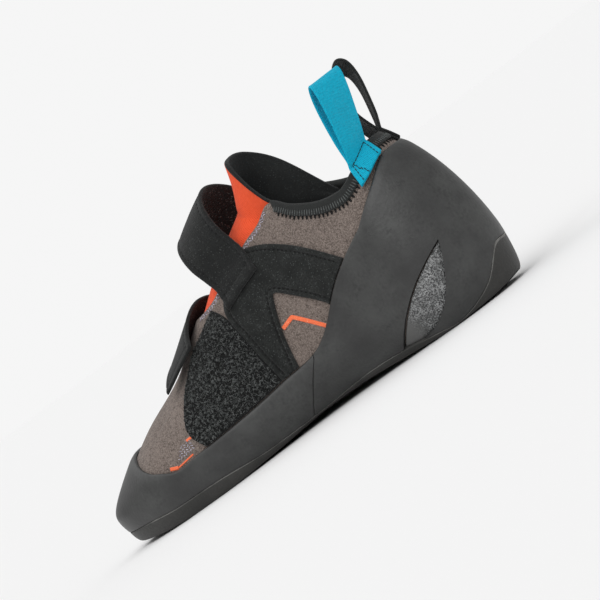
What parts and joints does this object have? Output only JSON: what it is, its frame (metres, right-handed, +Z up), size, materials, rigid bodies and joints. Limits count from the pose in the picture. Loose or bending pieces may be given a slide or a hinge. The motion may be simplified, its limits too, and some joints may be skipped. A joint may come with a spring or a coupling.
{
  "type": "climbing shoe",
  "caption": "Low rock climbing shoe for the right foot: suede upper, rubber sole and rands with heel windows, crossing hook-and-loop straps, padded tongue and webbing pull loops at the heel.",
  "frame": {"origin": "on the floor under the middle of the shoe's bounding box", "axes": "+X points to the toe, +Y to the medial side of the foot, +Z up"},
  "size_m": [0.2381, 0.0886, 0.1278],
  "materials": {
    "suede": "napped grey-brown split leather",
    "sole_rubber": "matt black",
    "rand_rubber": "matt charcoal",
    "grained_rubber": "grained, semi-gloss grey",
    "microsuede": "matt near-black",
    "loop_pile": "looped pile, matt black",
    "strap_web": "matt black",
    "binding_knit": "knitted black",
    "stretch_orange": "stretch knit, orange outside",
    "blue_webbing": "woven cyan blue",
    "black_webbing": "woven black",
    "insole_board": "matt dark grey"
  },
  "bodies": {
    "root": {"upper": "suede", "outsole": "sole_rubber", "toe_rand": "rand_rubber", "heel_rand": "rand_rubber", "heel_inlay_medial": "grained_rubber", "heel_inlay_lateral": "grained_rubber", "collar_binding": "binding_knit", "wing_panel_medial": "microsuede", "wing_panel_lateral": "microsuede", "loop_patch_medial": "loop_pile", "loop_patch_lateral": "loop_pile", "upper_strap": "strap_web", "lower_strap": "strap_web", "tongue": "stretch_orange", "pull_loop_medial": "blue_webbing", "pull_loop_lateral": "black_webbing", "insole": "insole_board"}
  },
  "joints": []
}
